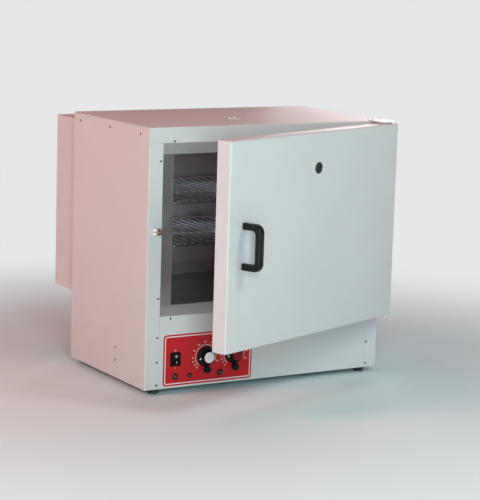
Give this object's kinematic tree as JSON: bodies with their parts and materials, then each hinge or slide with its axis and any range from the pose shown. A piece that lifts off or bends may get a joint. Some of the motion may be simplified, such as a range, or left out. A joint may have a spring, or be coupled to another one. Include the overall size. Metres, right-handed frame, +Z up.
{
  "type": "drying oven",
  "caption": "Benchtop laboratory drying oven with a fan: off-white steel case on rubber feet, side-hung door ajar, wire shelves in a steel chamber, red control panel with dials",
  "frame": {"origin": "on the table, under the middle of the case's footprint, without the door and the rear cover", "axes": "+X to the right as seen from the front, +Y to the back, +Z up; the door faces -Y and stands ajar"},
  "size_m": [0.6097, 0.7689, 0.5872],
  "materials": {
    "case_paint": "off-white powder coat, satin",
    "door_paint": "off-white powder coat, satin",
    "hinge_paint": "off-white enamel",
    "bright_steel": "brushed stainless steel",
    "chamber_steel": "dull stainless sheet",
    "zinc_steel": "zinc-plated sheet",
    "screw_steel": "zinc-plated",
    "chrome": "polished chrome",
    "brass": "turned brass",
    "copper_roller": "copper-coloured rollers",
    "heater": "heat-tinted tubular steel",
    "aluminium": "turned aluminium",
    "red_cap": "dark red cap",
    "black_plastic": "moulded black",
    "red_label": "printed red face with a white border",
    "rocker_plastic": "black, slightly glossy",
    "green_lens": "translucent green",
    "amber_lens": "translucent amber",
    "red_lens": "translucent dark red",
    "black_rubber": "black",
    "seal_rubber": "pale silicone",
    "wool": "mineral wool"
  },
  "bodies": {
    "case": {"base_panel": "zinc_steel", "cable_gland": "black_plastic", "case_screws": "screw_steel", "catch_body": "bright_steel", "chamber_back": "chamber_steel", "chamber_ceiling": "chamber_steel", "chamber_floor": "chamber_steel", "chamber_insulation": "wool", "chamber_walls": "chamber_steel", "control_label": "red_label", "dial_lock_plates": "black_plastic", "divider_panel": "zinc_steel", "fan_motor": "zinc_steel", "heater_element": "heater", "hinge_pins": "screw_steel", "hinge_plate_bottom": "hinge_paint", "hinge_plate_top": "hinge_paint", "hinge_screws": "screw_steel", "lamp_amber": "amber_lens", "lamp_bezels": "black_plastic", "lamp_green": "green_lens", "lamp_red": "red_lens", "lower_front_panel": "case_paint", "rear_baffle": "chamber_steel", "rear_cover": "case_paint", "rear_panel": "zinc_steel", "rubber_feet": "black_rubber", "shelf_runners": "chamber_steel", "side_panel_left": "case_paint", "side_panel_right": "case_paint", "switch_body": "black_plastic", "thermostat_bodies": "zinc_steel", "top_panel": "case_paint", "trim_bottom": "bright_steel", "trim_sides": "bright_steel", "trim_top": "bright_steel", "vent_screw": "screw_steel", "vent_tube": "zinc_steel"},
    "door": {"door_shell": "door_paint", "door_insulation": "wool", "door_inner_pan": "bright_steel", "door_seal": "seal_rubber", "door_handle": "black_plastic", "handle_screws": "screw_steel", "door_plug": "black_rubber", "catch_tongue": "bright_steel", "hinge_bushes": "brass"},
    "thermostat_dial": {"thermostat_knob": "black_plastic", "thermostat_knob_cap": "aluminium", "thermostat_spindle": "screw_steel"},
    "limit_dial": {"limit_knob": "black_plastic", "limit_knob_cap": "red_cap", "limit_spindle": "screw_steel"},
    "rocker": {"switch_rocker": "rocker_plastic"},
    "thermostat_lock": {"thermostat_lock_screw": "black_plastic"},
    "limit_lock": {"limit_lock_screw": "black_plastic"},
    "fan": {"fan_shaft": "screw_steel", "fan_impeller": "aluminium"},
    "upper_shelf": {"shelf_upper_frame": "chrome", "shelf_upper_wires": "chrome", "shelf_upper_bars": "chrome"},
    "lower_shelf": {"shelf_lower_frame": "chrome", "shelf_lower_wires": "chrome", "shelf_lower_bars": "chrome"},
    "damper": {"vent_damper": "bright_steel"},
    "upper_roller": {"catch_roller_upper": "copper_roller"},
    "lower_roller": {"catch_roller_lower": "copper_roller"}
  },
  "joints": [
    {"name": "door_hinge", "type": "hinge", "parent": "case", "child": "door", "pos_m": [0.2875, -0.218, 0.3605], "axis": [0, 0, 1], "range_deg": [-20.77, 149.2]},
    {"name": "thermostat_turn", "type": "hinge", "parent": "case", "child": "thermostat_dial", "pos_m": [-0.1521, -0.1826, 0.0761], "axis": [0, 1, 0], "range_deg": [-45, 255]},
    {"name": "limit_turn", "type": "hinge", "parent": "case", "child": "limit_dial", "pos_m": [-0.0805, -0.1826, 0.0761], "axis": [0, 1, 0], "range_deg": [-45, 255]},
    {"name": "rocker_tilt", "type": "hinge", "parent": "case", "child": "rocker", "pos_m": [-0.2282, -0.1826, 0.0758], "axis": [1, 0, 0], "range_deg": [0, 14]},
    {"name": "thermostat_lock_turn", "type": "hinge", "parent": "case", "child": "thermostat_lock", "pos_m": [-0.1521, -0.1826, 0.0476], "axis": [0, 1, 0], "range_deg": [-180, 180]},
    {"name": "limit_lock_turn", "type": "hinge", "parent": "case", "child": "limit_lock", "pos_m": [-0.0805, -0.1826, 0.0476], "axis": [0, 1, 0], "range_deg": [-180, 180]},
    {"name": "fan_turn", "type": "hinge", "parent": "case", "child": "fan", "pos_m": [0.03, 0.182, 0.3075], "axis": [0, 1, 0], "continuous": true},
    {"name": "upper_shelf_slide", "type": "slide", "parent": "case", "child": "upper_shelf", "axis": [0, -1, 0], "range_m": [0, 0.02]},
    {"name": "lower_shelf_slide", "type": "slide", "parent": "case", "child": "lower_shelf", "axis": [0, -1, 0], "range_m": [0, 0.02]},
    {"name": "damper_turn", "type": "hinge", "parent": "case", "child": "damper", "pos_m": [-0.0205, -0.054, 0.5825], "axis": [0, 0, 1], "range_deg": [0, 90]},
    {"name": "upper_roller_turn", "type": "hinge", "parent": "case", "child": "upper_roller", "pos_m": [-0.2805, -0.191, 0.3628], "axis": [1, 0, 0], "continuous": true},
    {"name": "lower_roller_turn", "type": "hinge", "parent": "case", "child": "lower_roller", "pos_m": [-0.2805, -0.191, 0.3552], "axis": [1, 0, 0], "continuous": true}
  ]
}
